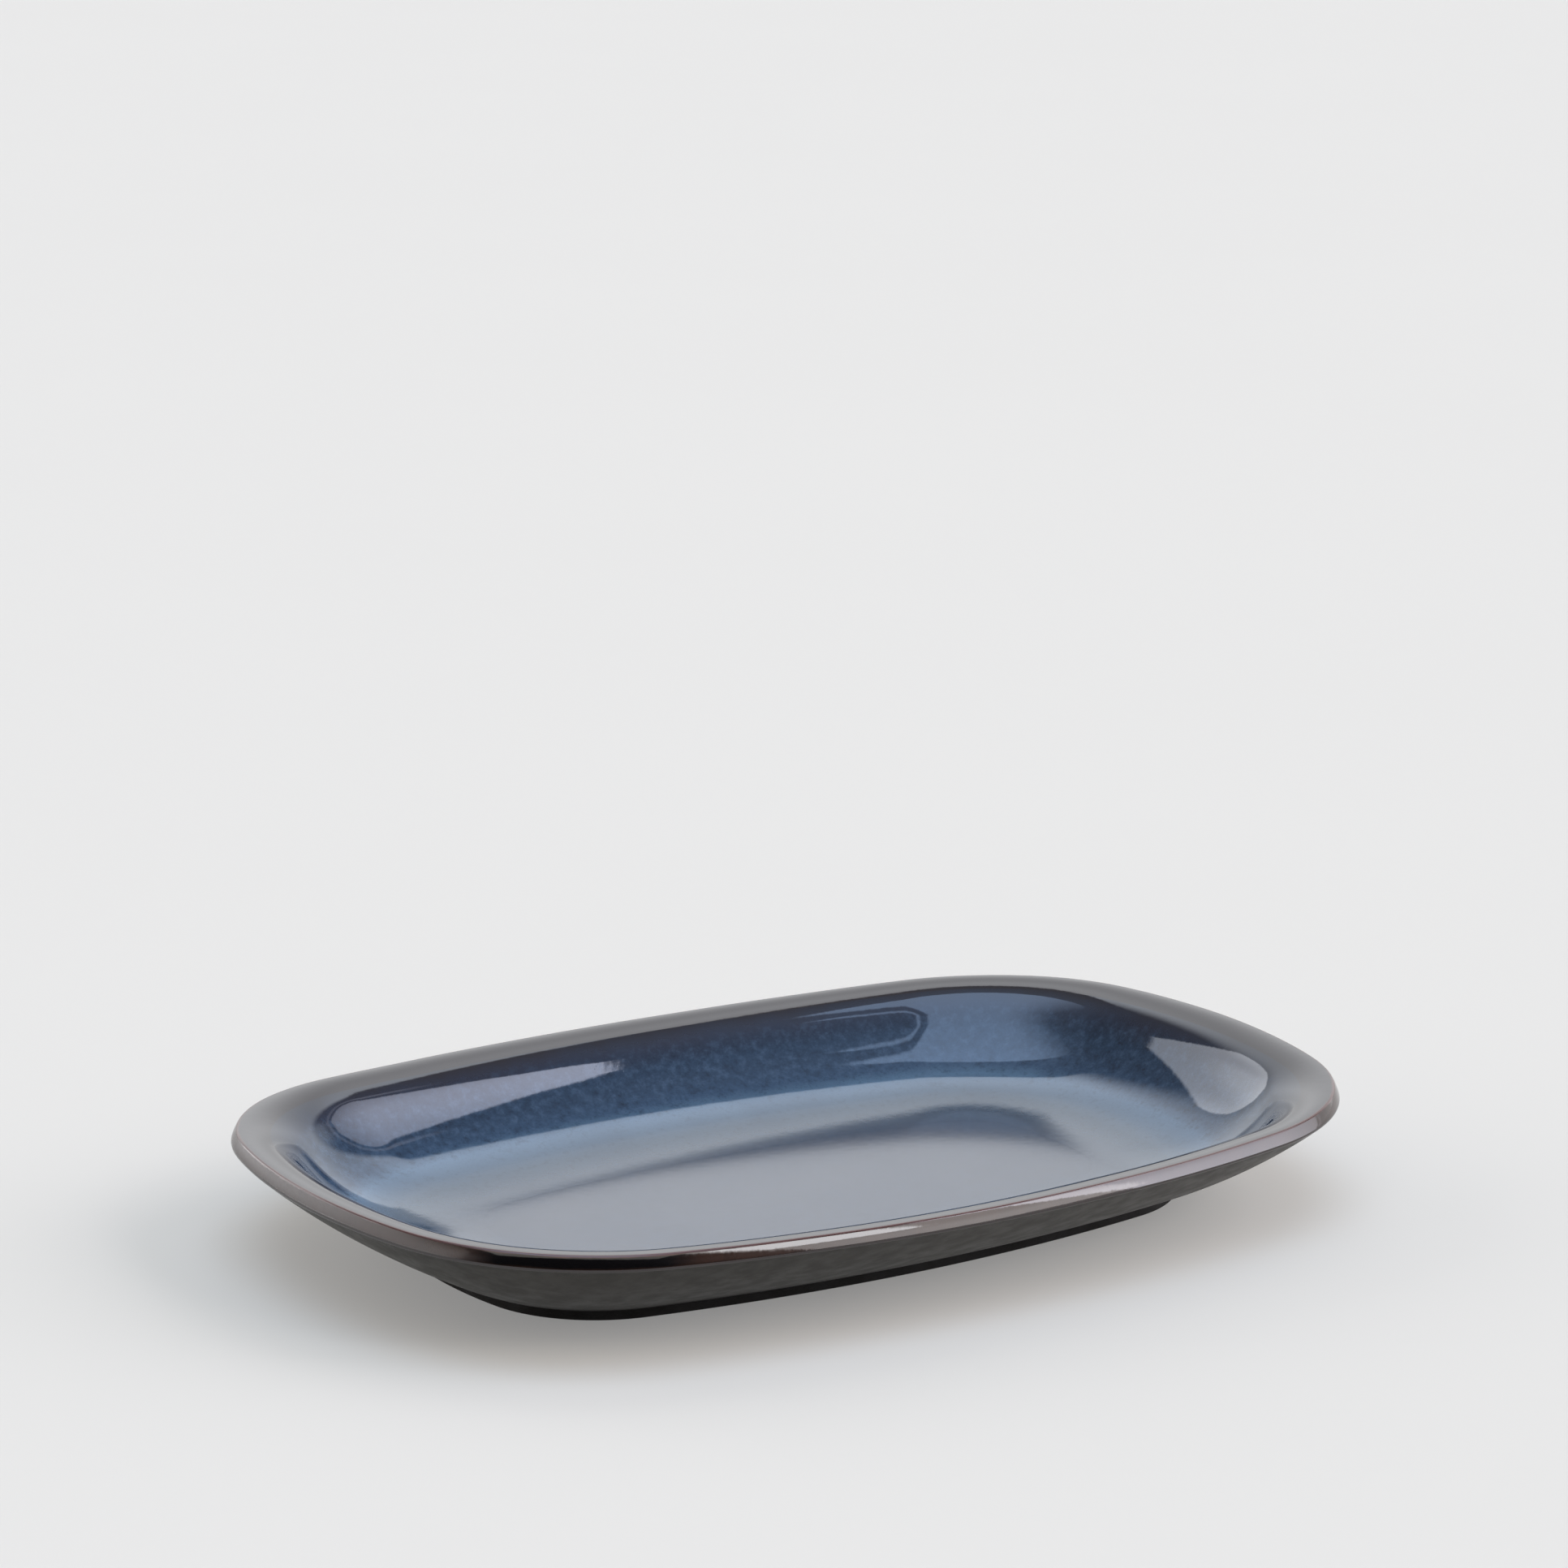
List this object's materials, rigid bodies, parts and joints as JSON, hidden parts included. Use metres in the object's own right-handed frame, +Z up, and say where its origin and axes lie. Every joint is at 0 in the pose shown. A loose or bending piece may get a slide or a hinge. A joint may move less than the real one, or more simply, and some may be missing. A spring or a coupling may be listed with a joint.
{
  "type": "oval serving platter",
  "caption": "Shallow rounded-rectangular stoneware platter with a flared wall, rolled lip and low foot ring, coated in a glossy blue reactive glaze that breaks brown at the rim.",
  "frame": {"origin": "on the table, under the middle of the platter", "axes": "+X along the platter's length, +Y along its width, +Z up"},
  "size_m": [0.35, 0.237, 0.0379],
  "materials": {
    "clay": "fired stoneware",
    "bare_clay": "bare dark stoneware",
    "well_glaze": "glossy blue reactive glaze",
    "rim_glaze": "glossy brown-breaking glaze",
    "outer_glaze": "glossy olive-black glaze",
    "base_glaze": "satin olive-black glaze"
  },
  "bodies": {
    "root": {"stoneware_body": "clay", "foot_ring": "bare_clay", "well_glaze": "well_glaze", "rim_glaze": "rim_glaze", "outer_glaze": "outer_glaze", "base_glaze": "base_glaze"}
  },
  "joints": []
}
